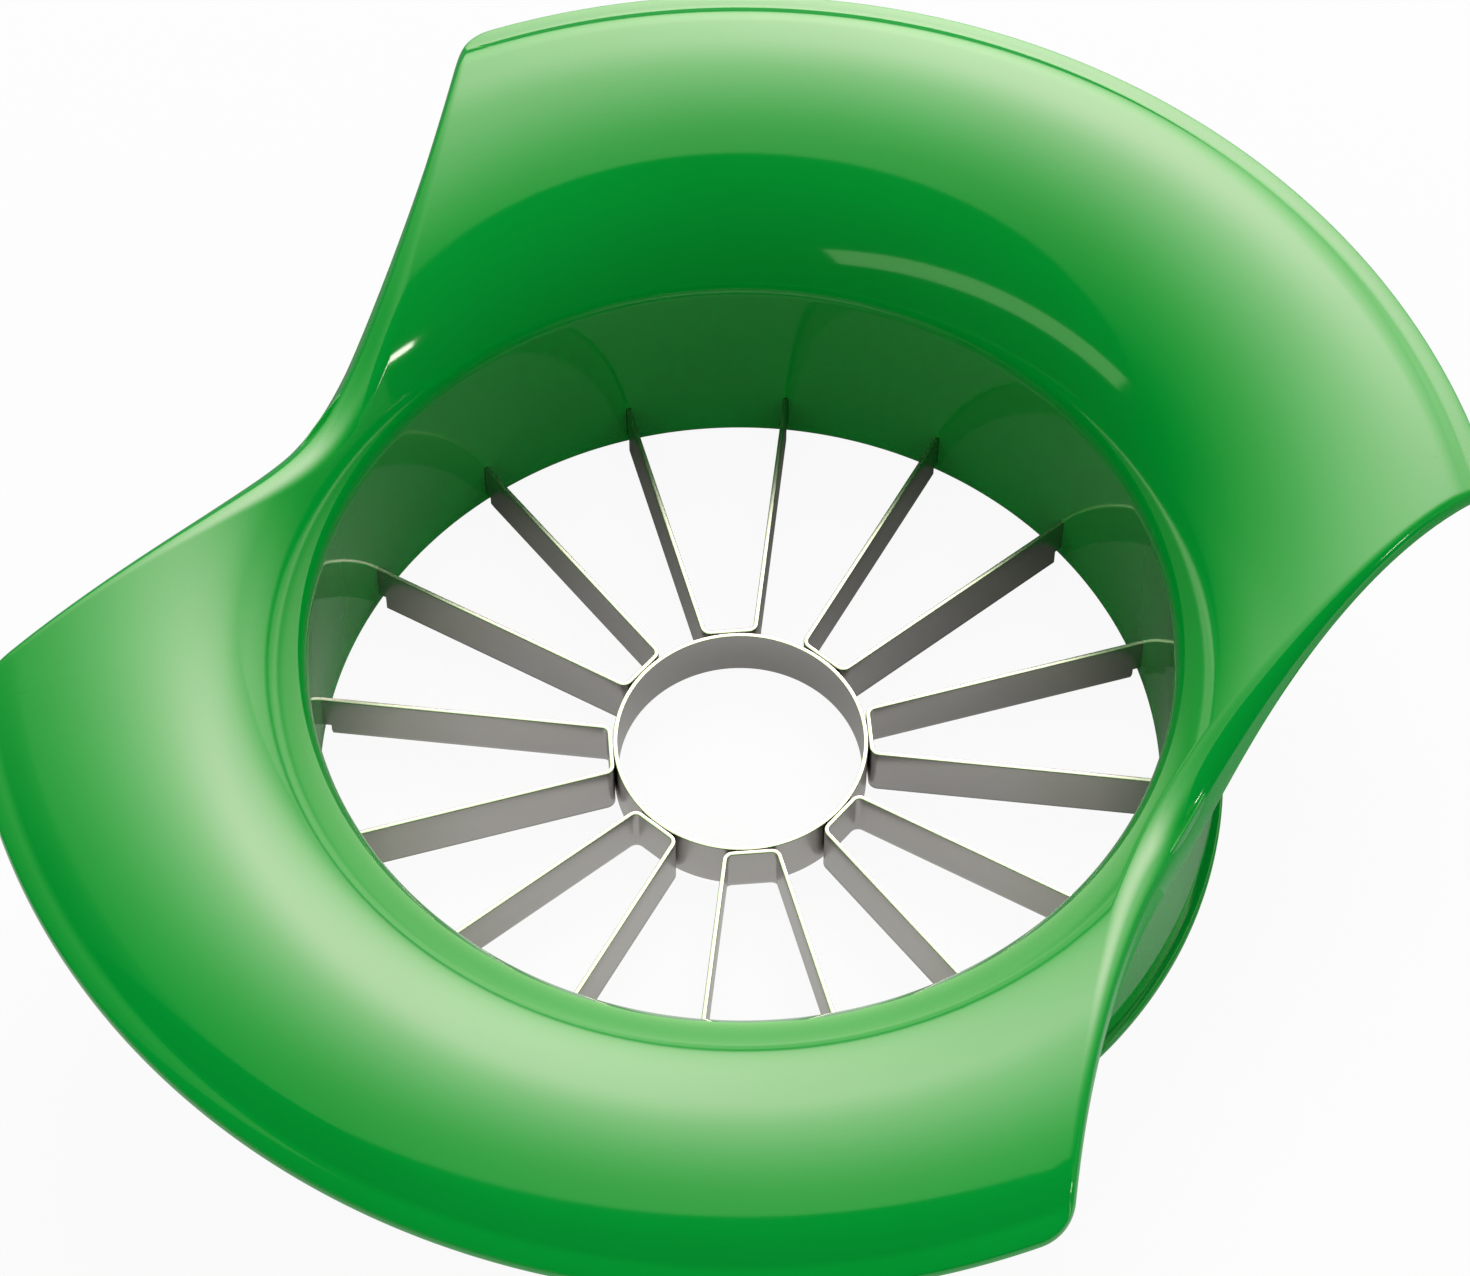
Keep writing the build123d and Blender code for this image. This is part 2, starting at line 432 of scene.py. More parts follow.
def skirt_and_groove():
    """The section from the underside down the skirt, round the groove and down the collar wall's outside."""
    start = SKIRT_TIP - Vector((0, SKIRT_BLEND))
    foot = Vector((SKIRT_FOOT, SKIRT_BOTTOM))
    end = foot + Vector((0, SKIRT_EDGE))
    groove_top = flare_height(COLLAR_OUTER, PLATE)
    section = arc_blend(UNDER_END, SKIRT_TIP, start, FILLET_STEPS)
    section += [start.lerp(end, share) for share in spread(0, 1, SKIRT_STEPS)[1:]]
    section += arc_blend(end, foot, foot - Vector((SKIRT_EDGE, 0)), FILLET_STEPS)
    section += [
        (SKIRT_INNER, SKIRT_BOTTOM),
        (SKIRT_INNER, groove_top),
        (COLLAR_OUTER, groove_top),
        (COLLAR_OUTER, SLOT_TOP),
        (COLLAR_OUTER, SEAT_HEIGHT),
    ]
    return section


def shell_column(angle):
    """One closed section of the shell, from the foot of the collar's bore up, over and back down."""
    point, normal = outline(angle)
    edge = plate_edge(angle)
    column = turned(wall_and_lip(), angle)
    column += flare_points(angle, point - normal * EDGE_ZONE)
    column += [(*(point - normal * inset), height) for inset, height in edge]
    column += under_points(angle, point - normal * edge[-1].x, edge[-1].y)
    column += turned(skirt_and_groove(), angle)
    return column


def make_handle_shell():
    angles, slots = shell_angles()
    columns = [shell_column(angle) for angle in angles]
    rows = len(columns[0])
    slot_starts = {angles.index(slot) for slot in slots[0::2]}
    bm = bmesh.new()

    # the foot of the wall is open at each slot: inside face, outside face and bottom
    open_rows = {0, rows - 2, rows - 1}
    grid = add_grid(bm, columns, skip=lambda j, i: j in slot_starts and i in open_rows)
    for j in slot_starts:
        near, far = grid[j], grid[(j + 1) % len(grid)]
        bm.faces.new((near[1], far[1], far[rows - 2], near[rows - 2]))
        bm.faces.new((near[0], near[1], near[rows - 2], near[rows - 1]))
        bm.faces.new((far[0], far[rows - 1], far[rows - 2], far[1]))
    return finish_mesh("handle_shell_moulding", bm, PLASTIC_SHARP)


# --- Base ring ------------------------------------------------------------------------------------------
FOOT_HEIGHT = 4.6
FOOT_BAND = 1.2
FOOT_SLOPE = 2.5
BORE_CHAMFER = 1.2
RIB_INNER_GAP, RIB_OUTER_GAP = 0.2, 0.15
RIB_INNER = COLLAR_OUTER + RIB_INNER_GAP
RIB_OUTER = SKIRT_INNER - RIB_OUTER_GAP
BASE_COLUMNS = 360
BASE_CORNER_STEPS = 4


def make_base_ring():
    # radius, height and rounding of each corner
    corners = [
        (OPENING, SEAT_HEIGHT, 0.12),
        (OPENING, BORE_CHAMFER, 0.25),
        (OPENING + BORE_CHAMFER, 0, 0.2),
        (FOOT_RADIUS - FOOT_SLOPE, 0, 0.3),
        (FOOT_RADIUS, FOOT_HEIGHT - FOOT_BAND, 0.3),
        (FOOT_RADIUS, FOOT_HEIGHT, 0.35),
        (RIB_OUTER, FOOT_HEIGHT, 0),
        (RIB_OUTER, RIB_TOP, 0.3),
        (RIB_INNER, RIB_TOP, 0.3),
        (RIB_INNER, SEAT_HEIGHT, 0),
    ]
    section = rounded_section(corners, BASE_CORNER_STEPS)
    return revolve("base_ring_moulding", section, BASE_COLUMNS, PLASTIC_SHARP)


# --- Cutter ---------------------------------------------------------------------------------------------
EDGE_BREAK = 0.07  # rounding of the rolled strip's edges
BREAK_SHARE = 0.3  # of that rounding, at the row in its middle
TIP_WIDTH, TIP_HEIGHT = 0.02, 0.03  # rounding of a blade's cutting edge
TIP_BEVEL = 0.01  # how much wider the blade is at the top of that rounding
BEVEL_HEIGHT = 1.1
CORE_BEVEL = 0.6
LAND = 0.12
BEND = 0.9
NOTCH_DEPTH = 0.8
TANG_GAP = 0.2
WELD_GAP = 0.02
NOTCH_RADIUS = OPENING - NOTCH_DEPTH
TANG_END = COLLAR_OUTER - TANG_GAP
WEB = CORE_OUTER + WELD_GAP + STRIP / 2
CORE_COLUMNS = 180
CORE_CORNER_STEPS = 3
BLADE_STEPS, BEND_STEPS, WEB_STEPS = 26, 8, 6
SEAT_ROW = 3  # the row of the strip's profile that lies at the seat


def make_core_ring():
    inner = CORE_OUTER - STRIP
    # radius, height and rounding of each corner
    corners = [
        (inner, BLADE_BOTTOM + CORE_BEVEL, 0.08),
        (CORE_OUTER - LAND, BLADE_BOTTOM, 0.02),
        (CORE_OUTER, BLADE_BOTTOM, 0.03),
        (CORE_OUTER, BLADE_TOP, EDGE_BREAK),
        (inner, BLADE_TOP, EDGE_BREAK),
    ]
    section = rounded_section(corners, CORE_CORNER_STEPS)
    return revolve("core_ring_strip", section, CORE_COLUMNS, STEEL_SHARP)


def fold_line():
    """Stations along one strip, folded round +X: plan points, and plan normals towards the U's inside."""
    half = math.radians(WEDGE / 2)
    corner = Vector((WEB, WEB * math.tan(half)))
    out = Vector((math.cos(half), math.sin(half)))
    inward = Vector((out.y, -out.x))
    fold = math.pi / 2 + half  # between the blade and the web, measured inside the U
    cut = BEND / math.tan(fold / 2)

    # the blade, from its tang in to the bend
    end_length = TANG_END - corner.length
    notch_length = NOTCH_RADIUS - corner.length
    lengths = [end_length, notch_length] + spread(notch_length, cut, BLADE_STEPS)[1:]
    points = [corner + out * length for length in lengths]
    normals = [inward] * len(points)

    # the bend and half of the web, then the other half of the U as its mirror image
    center = corner + out * cut + inward * BEND
    for i in range(1, BEND_STEPS + 1):
        direction = Matrix.Rotation((math.pi - fold) * i / BEND_STEPS, 2) @ -inward
        points.append(center + direction * BEND)
        normals.append(-direction)
    for y in spread(points[-1].y, 0, WEB_STEPS)[1:]:
        points.append(Vector((WEB, y)))
        normals.append(Vector((1, 0)))
    flip = Vector((1, -1))
    points += [point * flip for point in reversed(points[:-1])]
    normals += [normal * flip for normal in reversed(normals[:-1])]
    return points, normals


def strip_profile():
    """Rows up a strip: height, and offsets of its outer and inner faces, positive towards the U's inside."""
    half = STRIP / 2
    part = BREAK_SHARE * EDGE_BREAK
    return [
        (BLADE_BOTTOM, -half + TIP_WIDTH, LAND - half),
        (BLADE_BOTTOM + TIP_HEIGHT, -half, LAND - half + TIP_BEVEL),
        (BLADE_BOTTOM + BEVEL_HEIGHT, -half, half),
        (SEAT_HEIGHT, -half, half),
        ((SEAT_HEIGHT + BLADE_TOP) / 2, -half, half),
        (BLADE_TOP - EDGE_BREAK, -half, half),
        (BLADE_TOP - part, -half + part, half - part),
        (BLADE_TOP, -half + EDGE_BREAK, half - EDGE_BREAK),
    ]


def strip_walls(bm, profile, angle):
    """The corner points of a strip's outer and inner faces, station by station."""
    swing = Matrix.Rotation(math.radians(angle), 2)
    outer, inner = [], []
    for point, normal in zip(*fold_line()):
        for side, wall in ((1, outer), (2, inner)):
            plans = [swing @ (point + normal * row[side]) for row in profile]
            wall.append([bm.verts.new((plan.x, plan.y, row[0])) for plan, row in zip(plans, profile)])
    return outer, inner


def make_blade_pair(node, angle):
    """One strip folded into a U. Its inside face is bevelled, and its ends are notched below the seat."""
    bm = bmesh.new()
    profile = strip_profile()
    outer, inner = strip_walls(bm, profile, angle)
    top_row = len(profile) - 1
    last = len(outer) - 1
    for j in range(last):
        notched = j in (0, last - 1)
        first_row = SEAT_ROW if notched else 0
        for i in range(first_row, top_row):
            bm.faces.new((outer[j][i], outer[j + 1][i], outer[j + 1][i + 1], outer[j][i + 1]))
            bm.faces.new((inner[j][i], inner[j][i + 1], inner[j + 1][i + 1], inner[j + 1][i]))
        for i in (first_row, top_row):
            bm.faces.new((outer[j][i], inner[j][i], inner[j + 1][i], outer[j + 1][i]))

    # the faces across the strip, at its two ends and its two notches
    end_rows, notch_rows = range(SEAT_ROW, top_row), range(SEAT_ROW)
    for j, rows in ((0, end_rows), (1, notch_rows), (last - 1, notch_rows), (last, end_rows)):
        for i in rows:
            bm.faces.new((outer[j][i], outer[j][i + 1], inner[j][i + 1], inner[j][i]))
    loose = [vert for vert in bm.verts if not vert.link_faces]
    bmesh.ops.delete(bm, geom=loose, context="VERTS")
    return finish_mesh(f"{node}_strip", bm, STEEL_SHARP)


# --- Shader helpers -------------------------------------------------------------------------------------
def new_tree(owner, output_kind="ShaderNodeOutputMaterial"):
    """Gives a material or world an empty node tree with one output."""
    owner.use_nodes = True
    nodes, links = owner.node_tree.nodes, owner.node_tree.links
    nodes.clear()
    return nodes, links, nodes.new(output_kind)


def new_surface(name):
    """A material with one Principled shader."""
    material = bpy.data.materials.new(name)
    nodes, links, output = new_tree(material)
    shader = nodes.new("ShaderNodeBsdfPrincipled")
    links.new(shader.outputs["BSDF"], output.inputs["Surface"])
    return material, nodes, links, shader


def noise_value(nodes, links, coordinates, scale, detail, roughness=0.5):
    noise = nodes.new("ShaderNodeTexNoise")
    noise.inputs["Scale"].default_value = scale
    noise.inputs["Detail"].default_value = detail
    noise.inputs["Roughness"].default_value = roughness
    links.new(coordinates, noise.inputs["Vector"])
    return noise.outputs["Fac"]


def ramp_colour(nodes, links, factor, stops):
    """Colour from a ramp whose stops are (position, colour)."""
    ramp = nodes.new("ShaderNodeValToRGB")
    elements = ramp.color_ramp.elements
    while len(elements) < len(stops):
        elements.new(1.0)
    for element, (position, colour) in zip(elements, stops):
        element.position = position
        element.color = (*colour, 1)
    links.new(factor, ramp.inputs["Fac"])
    return ramp.outputs["Color"]


def mapped_value(nodes, links, value, to_range, from_range=(0.0, 1.0), smooth=False):
    node = nodes.new("ShaderNodeMapRange")
    node.interpolation_type = "SMOOTHSTEP" if smooth else "LINEAR"
    node.inputs["From Min"].default_value, node.inputs["From Max"].default_value = from_range
    node.inputs["To Min"].default_value, node.inputs["To Max"].default_value = to_range
    links.new(value, node.inputs["Value"])
    return node.outputs["Result"]


def bump_normal(nodes, links, height, strength, distance):
    bump = nodes.new("ShaderNodeBump")
    bump.inputs["Strength"].default_value = strength
    bump.inputs["Distance"].default_value = distance
    links.new(height, bump.inputs["Height"])
    return bump.outputs["Normal"]


def math_node(nodes, links, operation, first):
    """A math node with its first operand linked."""
    node = nodes.new("ShaderNodeMath")
    node.operation = operation
    links.new(first, node.inputs[0])
    return node


def vector_node(nodes, links, operation, first):
    """A vector math node with its first operand linked."""
    node = nodes.new("ShaderNodeVectorMath")
    node.operation = operation
    links.new(first, node.inputs[0])
    return node


# --- Materials ------------------------------------------------------------------------------------------
PLASTIC_COLOURS = ((0.3, (0.0, 0.355, 0.034)), (0.7, (0.0, 0.385, 0.040)))
PLASTIC_ROUGHNESS = (0.05, 0.1)
PLASTIC_IOR = 1.5
CLOUD_SCALE, WIPE_SCALE, PEEL_SCALE = 28, 60, 180
PEEL_STRENGTH, PEEL_DEPTH = 0.05, 0.00005  # depth in metres
STEEL_COLOURS = ((0.0, (0.42, 0.40, 0.39)), (1.0, (0.54, 0.52, 0.51)))
STEEL_ROUGHNESS = (0.24, 0.36)
GRAIN_STRETCH = (1, 1, 12)  # the grain is this much finer up the strip than along it
GRAIN_SCALE, STEEL_CLOUD_SCALE = 900, 90
GRAIN_STRENGTH, GRAIN_DEPTH = 0.15, 0.00002


def make_green_plastic():
    """Glossy moulded plastic: a faint cloudiness in the colour, and a faint orange peel in the gloss."""
    material, nodes, links, shader = new_surface("green_plastic")
    place = nodes.new("ShaderNodeTexCoord").outputs["Object"]
    cloud = noise_value(nodes, links, place, CLOUD_SCALE, detail=3)
    wipe = noise_value(nodes, links, place, WIPE_SCALE, detail=2)
    peel = noise_value(nodes, links, place, PEEL_SCALE, detail=1)
    colour = ramp_colour(nodes, links, cloud, PLASTIC_COLOURS)
    roughness = mapped_value(nodes, links, wipe, PLASTIC_ROUGHNESS)
    normal = bump_normal(nodes, links, peel, PEEL_STRENGTH, PEEL_DEPTH)
    links.new(colour, shader.inputs["Base Color"])
    links.new(roughness, shader.inputs["Roughness"])
    links.new(normal, shader.inputs["Normal"])
    shader.inputs["IOR"].default_value = PLASTIC_IOR
    return material


def make_blade_steel():
    """Rolled stainless strip: satin, with a fine grain along its length."""
    material, nodes, links, shader = new_surface("blade_steel")
    place = nodes.new("ShaderNodeTexCoord").outputs["Object"]
    stretch = nodes.new("ShaderNodeMapping")
    stretch.inputs["Scale"].default_value = GRAIN_STRETCH
    links.new(place, stretch.inputs["Vector"])
    grain = noise_value(nodes, links, stretch.outputs["Vector"], GRAIN_SCALE, detail=4, roughness=0.7)
    cloud = noise_value(nodes, links, place, STEEL_CLOUD_SCALE, detail=3)
    both = math_node(nodes, links, "ADD", grain)
    links.new(cloud, both.inputs[1])
    mean = math_node(nodes, links, "MULTIPLY", both.outputs["Value"])
    mean.inputs[1].default_value = 0.5
    colour = ramp_colour(nodes, links, mean.outputs["Value"], STEEL_COLOURS)
    roughness = mapped_value(nodes, links, grain, STEEL_ROUGHNESS)
    normal = bump_normal(nodes, links, grain, GRAIN_STRENGTH, GRAIN_DEPTH)
    links.new(colour, shader.inputs["Base Color"])
    links.new(roughness, shader.inputs["Roughness"])
    links.new(normal, shader.inputs["Normal"])
    shader.inputs["Metallic"].default_value = 1.0
    return material


# --- Pieces ---------------------------------------------------------------------------------------------
green_plastic = make_green_plastic()
blade_steel = make_blade_steel()


def place_piece(piece, node, material):
    piece.data.materials.append(material)
    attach(piece, "root")
    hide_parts(node)


place_piece(make_handle_shell(), "handle_shell", green_plastic)
place_piece(make_base_ring(), "base_ring", green_plastic)
place_piece(make_core_ring(), "core_ring", blade_steel)
for node in BLADE_PAIRS:
    number = int(node.rsplit("_", 1)[1])
    pair_angle = (2 * number - 0.5) * WEDGE
    place_piece(make_blade_pair(node, pair_angle), node, blade_steel)

# --- Camera: the picture's frame is 1470 by 1276 pixels --------------------------------------------------
PICTURE_WIDTH = 1470
VIEW_TURN = -61.3  # about Z, from looking along +Y
VIEW_ELEVATION = 57.046
VIEW_ROLL = -0.306
VIEW_DISTANCE = 497.94
VIEW_OFFSET = Vector((0.680, -11.276))  # of the blade-top centre from the view axis, right and up
FOCAL_PIXELS = 4493.56
SENSOR_WIDTH = 36.0

view_turn = Matrix.Rotation(math.radians(VIEW_TURN), 3, "Z")
elevation = math.radians(VIEW_ELEVATION)
view_right = view_turn @ Vector((1, 0, 0))
view_forward = view_turn @ Vector((0, math.cos(elevation), -math.sin(elevation)))
view_up = view_turn @ Vector((0, math.sin(elevation), math.cos(elevation)))
target = Vector((0, 0, BLADE_TOP))
eye = target - VIEW_OFFSET.x * view_right - VIEW_OFFSET.y * view_up - VIEW_DISTANCE * view_forward
roll = math.radians(VIEW_ROLL)
camera_x = math.cos(roll) * view_right - math.sin(roll) * view_up
camera_y = math.sin(roll) * view_right + math.cos(roll) * view_up

camera = new_object("camera", bpy.data.cameras.new("camera"))
camera.data.sensor_fit = "HORIZONTAL"
camera.data.sensor_width = SENSOR_WIDTH
camera.data.lens = FOCAL_PIXELS / PICTURE_WIDTH * SENSOR_WIDTH
axes = Matrix((camera_x, camera_y, -view_forward)).transposed()
camera.matrix_world = Matrix.Translation(eye * MM) @ axes.to_4x4()
bpy.context.scene.camera = camera

# --- Floor and world ------------------------------------------------------------------------------------
FLOOR_HALF_SIZE = 3.0  # metres
FLOOR_TONE = (0.9, 0.9, 0.9)
FLOOR_GLOW = 0.93  # how much of the floor's white, as the camera and the gloss see it, is its own
# the floor as the gloss sees it: painted shade in rings round the object, dim by its foot, with painted
# green light there as if bounced off the shell
FLOOR_REACH = 120.0
FLOOR_SHADE_RINGS = (
    (0.0, (0.75, 0.75, 0.73)),
    (30.0, (0.68, 0.68, 0.65)),
    (40.0, (0.52, 0.54, 0.47)),
    (46.5, (0.24, 0.29, 0.22)),
    (52.0, (0.16, 0.25, 0.16)),
    (62.0, (0.46, 0.56, 0.45)),
    (85.0, (0.85, 0.90, 0.84)),
    (FLOOR_REACH, (1.0, 1.0, 1.0)),
)
FLOOR_AWAY = Vector((0.25, 1, 0)).normalized()  # painted shadow of the far wing: the floor also dims in this direction, away from the camera
FLOOR_SHADOW_FADE = (-0.020, 0.034)  # metres from the middle over which the painted shadow dims it
FLOOR_SHADOW_SHARE = 0.22  # what is left of it in the painted shadow
WORLD_LEVEL, WORLD_GLOSS_LEVEL = 0.66, 0.03


def floor_gloss_shade(nodes, links):
    """The floor's colour for the gloss: painted shade in rings round the object, and a painted shadow that
    dims it away from the camera.
    """
    place = nodes.new("ShaderNodeTexCoord").outputs["Object"]
    radius = vector_node(nodes, links, "LENGTH", place).outputs["Value"]
    reach = mapped_value(nodes, links, radius, (0.0, 1.0), (0.0, FLOOR_REACH * MM))
    stops = [(ring_radius / FLOOR_REACH, colour) for ring_radius, colour in FLOOR_SHADE_RINGS]
    # painted shadow of the far wing, dimming the floor away from the camera
    away = vector_node(nodes, links, "DOT_PRODUCT", place)
    away.inputs[1].default_value = view_turn @ FLOOR_AWAY
    fade = mapped_value(nodes, links, away.outputs["Value"], (1.0, FLOOR_SHADOW_SHARE), FLOOR_SHADOW_FADE, smooth=True)
    # ring colours of painted shade and painted green light, dimmed further by the painted shadow
    painted_shade = vector_node(nodes, links, "SCALE", ramp_colour(nodes, links, reach, stops))
    links.new(fade, painted_shade.inputs["Scale"])
    return painted_shade.outputs["Vector"]


def make_floor():
    """A plain pale floor that keeps the object's shadow, and shows rings of painted shade to the gloss only.
    """
    bm = bmesh.new()
    bmesh.ops.create_grid(bm, x_segments=1, y_segments=1, size=FLOOR_HALF_SIZE)
    mesh = bpy.data.meshes.new("floor")
    bm.to_mesh(mesh)
    bm.free()
    floor = new_object("floor", mesh)
    material = bpy.data.materials.new("floor")
    nodes, links, output = new_tree(material)
    path = nodes.new("ShaderNodeLightPath")
    diffuse = nodes.new("ShaderNodeBsdfDiffuse")
    diffuse.inputs["Color"].default_value = (*FLOOR_TONE, 1)

    # the gloss sees the floor glow in its painted shade colours, and the camera sees it white
    shown = nodes.new("ShaderNodeMix")
    shown.data_type = "RGBA"
    shown.inputs[6].default_value = (1, 1, 1, 1)
    links.new(path.outputs["Is Glossy Ray"], shown.inputs[0])
    links.new(floor_gloss_shade(nodes, links), shown.inputs[7])
    glow = nodes.new("ShaderNodeEmission")
    links.new(shown.outputs[2], glow.inputs["Color"])

    seen = math_node(nodes, links, "ADD", path.outputs["Is Camera Ray"])
    links.new(path.outputs["Is Glossy Ray"], seen.inputs[1])
    share = math_node(nodes, links, "MULTIPLY", seen.outputs["Value"])
    share.inputs[1].default_value = FLOOR_GLOW
    blend = nodes.new("ShaderNodeMixShader")
    links.new(share.outputs["Value"], blend.inputs["Fac"])
    links.new(diffuse.outputs["BSDF"], blend.inputs[1])
    links.new(glow.outputs["Emission"], blend.inputs[2])
    links.new(blend.outputs["Shader"], output.inputs["Surface"])
    mesh.materials.append(material)


def make_world():
    """White for the camera, and a soft even light, dimmer where it is seen in the gloss."""
    world = bpy.data.worlds.new("world")
    bpy.context.scene.world = world
    nodes, links, output = new_tree(world, "ShaderNodeOutputWorld")
    background = nodes.new("ShaderNodeBackground")
    path = nodes.new("ShaderNodeLightPath")
    level = nodes.new("ShaderNodeMix")
    level.data_type = "FLOAT"
    level.inputs[2].default_value = WORLD_LEVEL
    level.inputs[3].default_value = WORLD_GLOSS_LEVEL
    links.new(path.outputs["Is Glossy Ray"], level.inputs[0])
    shown = nodes.new("ShaderNodeMix")
    shown.data_type = "FLOAT"
    shown.inputs[3].default_value = 1.0
    links.new(path.outputs["Is Camera Ray"], shown.inputs[0])
    links.new(level.outputs[0], shown.inputs[2])
    links.new(shown.outputs[0], background.inputs["Strength"])
    links.new(background.outputs["Background"], output.inputs["Surface"])


# --- Lights ---------------------------------------------------------------------------------------------
# The lights as the gloss shows them are glowing cards that light nothing else. Their places are in the
# camera's own turn about Z: x to its right, y away from it. Azimuths are measured from y towards x.
GREEN_PART, GREEN_POWER, BLUE_PART = 1.5, 0.72, 0.78  # warm where bright, a little green where dim
CARD_DISTANCE = 1000.0

SOFT_EDGE_Y, SOFT_EDGE_Z = -3.4, 532.0
SOFT_TILT = 6.6
SOFT_REACH = 3600.0
SOFT_HALF_WIDTH = 2400.0
SOFT_STEPS = 61
SOFT_EDGE_LEVEL, SOFT_PEAK_LEVEL = 1.1, 9.8
SOFT_PEAK = 620.0  # from the near edge to the brightest line
SOFT_RISE_CURVE = 1.2
SOFT_FADE, SOFT_FADE_CURVE = 2600.0, 0.9
SOFT_SHIFT, SOFT_SHIFT_LENGTH = 200.0, 400.0  # of the brightest place to the right, and where it is reached
SOFT_WIDTH, SOFT_SPREAD = 300.0, 0.45  # of the bright part at the near edge, and how it grows away from it
SOFT_SIDE_GAIN, SOFT_SIDE_CURVE = 1.1, -1.7

BORE_CARD_RADIUS, BORE_CARD_HEIGHT, BORE_CARD_RISE = 46.5, 29.8, 5.6
BORE_CARD_FIT = 0.998  # of the radius, so that the first and last rows have a width
BORE_CARD_ROWS, BORE_CARD_COLUMNS = 49, 41
BORE_RISE_SPAN = (26, 46)  # y over which its far end turns up
BORE_NEAR_LEVEL = 0.75
BORE_GROWTH, BORE_GROWTH_LENGTH = 0.85, 31  # of its level, away from the camera
BORE_MIDDLE_GAIN, BORE_MIDDLE_X, BORE_MIDDLE_Y = 0.6, (4, 20), (-15, 10)
BORE_FAR_SIDE_CUT, BORE_FAR_SIDE_SKEW = 0.8, 0.35
BORE_FAR_SIDE_Y, BORE_FAR_SIDE_X = (-14, 10), (12, 32)
BORE_FAR_END_CUT, BORE_FAR_END_Y, BORE_FAR_END_X = 0.45, (22, 30), (-8, 2)
BORE_SIDE_CUT, BORE_SIDE_X = 0.3, (0, 32)

SIDE_CARD_AZIMUTHS = (100, 22)  # in this order, its front is towards the object
SIDE_CARD_COLUMNS, SIDE_CARD_ROWS = 40, 12
SIDE_CARD_LOW = -1
SIDE_CARD_TOPS = (2, 42)  # least and greatest height of its top edge
SIDE_CARD_START = 25  # azimuth at which the top edge would meet the horizon, climbing a degree for a degree
SIDE_CARD_LEVEL, SIDE_CARD_LEAST, SIDE_CARD_FADE = 1.2, 0.1, (40, 76)
SIDE_CARD_HORIZON, SIDE_CARD_CLIMB, SIDE_CARD_FULL = 1.2, 0.085, 16

STRIP_LIGHT_PLACE, STRIP_LIGHT_SIZE, STRIP_LIGHT_LEVEL = (-128, 35), (1080, 165), 1.5
SMALL_LIGHT_PLACE, SMALL_LIGHT_SIZE = (103.8, 30.3), (90, 50)
SMALL_LIGHT_COLOUR = (25, 25, 21, 1)
KEY_PLACE, KEY_SIZE, KEY_POWER = (150, 640, 760), 0.8, 5.5  # millimetres, metres and watts


def glow_colour(level):
    return (level, GREEN_PART * level**GREEN_POWER, BLUE_PART * level, 1)


def glow_material(name):
    """Glows in the colours stored on the mesh, from its front. From behind it is clear."""
    material = bpy.data.materials.new(name)
    nodes, links, output = new_tree(material)
    stored = nodes.new("ShaderNodeAttribute")
    stored.attribute_name = "glow"
    glow = nodes.new("ShaderNodeEmission")
    links.new(stored.outputs["Color"], glow.inputs["Color"])
    clear = nodes.new("ShaderNodeBsdfTransparent")
    side = nodes.new("ShaderNodeNewGeometry")
    blend = nodes.new("ShaderNodeMixShader")
    links.new(side.outputs["Backfacing"], blend.inputs["Fac"])
    links.new(glow.outputs["Emission"], blend.inputs[1])
    links.new(clear.outputs["BSDF"], blend.inputs[2])
    links.new(blend.outputs["Shader"], output.inputs["Surface"])
    return material


def make_glow_card(name, points, colours):
    """A sheet through rows of points, each with its own glow. Only the gloss sees it, from its front."""
    bm = bmesh.new()
    layer = bm.verts.layers.float_color.new("glow")
    grid = []
    for row, row_colours in zip(points, colours):
        verts = [bm.verts.new(view_turn @ Vector(point) * MM) for point in row]
        for vert, colour in zip(verts, row_colours):
            vert[layer] = colour
        grid.append(verts)
    for near, far in zip(grid, grid[1:]):
        for i in range(len(near) - 1):
            bm.faces.new((near[i], near[i + 1], far[i + 1], far[i]))
    mesh = bpy.data.meshes.new(name)
    bm.to_mesh(mesh)
    bm.free()
    mesh.materials.append(glow_material(name))
    card = new_object(name, mesh)
    card.visible_camera = False
    card.visible_diffuse = False
    card.visible_shadow = False
    card.visible_transmission = False


def soft_light_level(across, along):
    """Brightness of the large soft light: a sharp near edge, a bright middle and a slow fade outwards."""
    if along < SOFT_PEAK:
        rise = smooth_rise(along, 0, SOFT_PEAK) ** SOFT_RISE_CURVE
        level = SOFT_EDGE_LEVEL + (SOFT_PEAK_LEVEL - SOFT_EDGE_LEVEL) * rise
    else:
        level = SOFT_PEAK_LEVEL * math.exp(-(((along - SOFT_PEAK) / SOFT_FADE) ** SOFT_FADE_CURVE))
    shift = SOFT_SHIFT * min(1.0, along / SOFT_SHIFT_LENGTH)
    width = SOFT_WIDTH + SOFT_SPREAD * along
    return level * (1 + SOFT_SIDE_GAIN * ((across - shift) / width) ** 2) ** SOFT_SIDE_CURVE


def make_soft_light():
    """The large soft light overhead and behind, nearly level, reaching back to the horizon."""
    tilt = math.radians(SOFT_TILT)
    places = [SOFT_HALF_WIDTH * share * abs(share) for share in spread(-1, 1, SOFT_STEPS)]
    points, colours = [], []
    for share in reversed(spread(0, 1, SOFT_STEPS)):
        along = SOFT_REACH * share**2
        y = SOFT_EDGE_Y + along * math.cos(tilt)
        z = SOFT_EDGE_Z - along * math.sin(tilt)
        points.append([(x, y, z) for x in places])
        colours.append([glow_colour(soft_light_level(x, along)) for x in places])
    make_glow_card("soft_light", points, colours)


